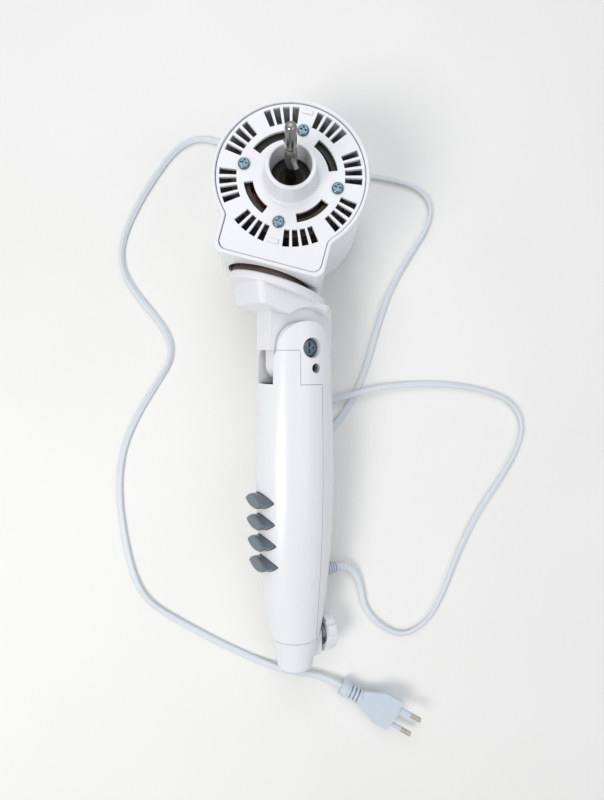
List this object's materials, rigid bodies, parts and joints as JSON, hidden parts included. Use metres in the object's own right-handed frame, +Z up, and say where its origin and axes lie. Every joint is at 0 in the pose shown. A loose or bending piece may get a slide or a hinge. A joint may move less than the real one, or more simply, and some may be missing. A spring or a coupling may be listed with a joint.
{
  "type": "pedestal fan upper unit",
  "caption": "Motor head, tilting neck and push-key control column of a pedestal fan, with a bare blade shaft, pole clamp and flat mains lead, lying on its back.",
  "frame": {"origin": "middle of the underside of the box round the unit without its lead, on the table that the unit lies on", "axes": "+Z up from the table, +Y from the pole socket to the motor head along the column, +X to the right seen from above"},
  "size_m": [0.3354, 0.4883, 0.1607],
  "materials": {
    "white_abs": "glossy moulded ABS, cool white",
    "grey_key": "slate grey moulded ABS",
    "zinc_screw": "blue zinc plated steel",
    "ground_steel": "ground steel",
    "laminate": "varnished electrical steel",
    "varnished_steel": "brown varnished sheet steel",
    "copper": "enamelled copper wire",
    "bronze": "sintered bronze",
    "zinc_casting": "cast light alloy",
    "black_plastic": "black moulded plastic",
    "natural_nylon": "natural nylon",
    "fibre": "friction fibre",
    "pale_pvc": "pale blue flexible PVC",
    "nickel": "nickel plated brass"
  },
  "bodies": {
    "column": {"front_shell": "white_abs", "rear_shell": "white_abs", "shell_screws": "zinc_screw", "ear_screw": "zinc_screw", "tilt_bolt": "zinc_screw", "tilt_nut": "zinc_screw", "friction_washers": "fibre", "switch_block": "black_plastic", "switch_plate": "ground_steel", "pole_socket": "white_abs", "cord_gland": "pale_pvc", "cord": "pale_pvc", "plug_body": "pale_pvc", "plug_pins": "nickel", "pin_sleeves": "pale_pvc"},
    "clamp": {"clamp_knob": "white_abs"},
    "neck": {"neck_housing": "white_abs", "pivot_plate": "varnished_steel", "swing_pivot": "ground_steel", "link_pin": "ground_steel"},
    "link": {"swing_link": "ground_steel"},
    "head": {"rear_cover": "white_abs", "front_plate": "white_abs", "plate_screws": "zinc_screw", "front_bell": "zinc_casting", "rear_bell": "zinc_casting", "motor_studs": "zinc_screw", "stator_core": "laminate", "front_winding": "copper", "rear_winding": "copper", "front_bearing": "bronze", "rear_bearing": "bronze", "gearbox_case": "black_plastic", "swing_bracket": "ground_steel", "capacitor": "black_plastic"},
    "rotor": {"shaft": "ground_steel", "drive_pin": "ground_steel", "rotor_core": "laminate", "worm": "ground_steel"},
    "gear": {"worm_wheel": "natural_nylon"},
    "clutch": {"clutch_knob": "white_abs"},
    "key_1": {"key_1": "grey_key"},
    "key_2": {"key_2": "grey_key"},
    "key_3": {"key_3": "grey_key"},
    "key_4": {"key_4": "grey_key"}
  },
  "joints": [
    {"name": "neck_tilt", "type": "hinge", "parent": "column", "child": "neck", "pos_m": [0.00298, 0.03673, 0.04725], "axis": [0.5, -0.0755, 0.8627], "range_deg": [0, 30]},
    {"name": "head_swing", "type": "hinge", "parent": "neck", "child": "head", "pos_m": [0.00007, 0.1449, 0.0584], "axis": [0.2532, 0.9654, -0.0623], "range_deg": [-120, 0]},
    {"name": "shaft_spin", "type": "hinge", "parent": "head", "child": "rotor", "pos_m": [0.00007, 0.1449, 0.0584], "axis": [0.0189, 0.0594, 0.9981], "continuous": true},
    {"name": "gear_turn", "type": "hinge", "parent": "head", "child": "gear", "pos_m": [0.01569, 0.13932, 0.03539], "axis": [0.2532, 0.9654, -0.0623], "continuous": true},
    {"name": "clutch_pull", "type": "slide", "parent": "head", "child": "clutch", "axis": [0.2532, 0.9654, -0.0623], "range_m": [0, 0.008]},
    {"name": "link_swing", "type": "hinge", "parent": "neck", "child": "link", "pos_m": [-0.03379, 0.09631, 0.05059], "axis": [0.2532, 0.9654, -0.0623], "range_deg": [-12.5, 0.5]},
    {"name": "clamp_turn", "type": "hinge", "parent": "column", "child": "clamp", "pos_m": [0.02982, -0.18607, 0.0122], "axis": [0.866, 0.0436, -0.4981], "range_deg": [0, 720]},
    {"name": "key_1_press", "type": "slide", "parent": "column", "child": "key_1", "axis": [0.866, 0.0436, -0.4981], "range_m": [0, 0.004], "stiffness_N_per_m": 500},
    {"name": "key_2_press", "type": "slide", "parent": "column", "child": "key_2", "axis": [0.866, 0.0436, -0.4981], "range_m": [0, 0.004], "stiffness_N_per_m": 500},
    {"name": "key_3_press", "type": "slide", "parent": "column", "child": "key_3", "axis": [0.866, 0.0436, -0.4981], "range_m": [0, 0.004], "stiffness_N_per_m": 500},
    {"name": "key_4_press", "type": "slide", "parent": "column", "child": "key_4", "axis": [0.866, 0.0436, -0.4981], "range_m": [0, 0.004], "stiffness_N_per_m": 500}
  ],
  "couplings": [
    {"joint": "gear_turn", "follows": "shaft_spin", "ratio": -0.041667},
    {"joint": "link_swing", "follows": "head_swing", "ratio": 0.1}
  ]
}
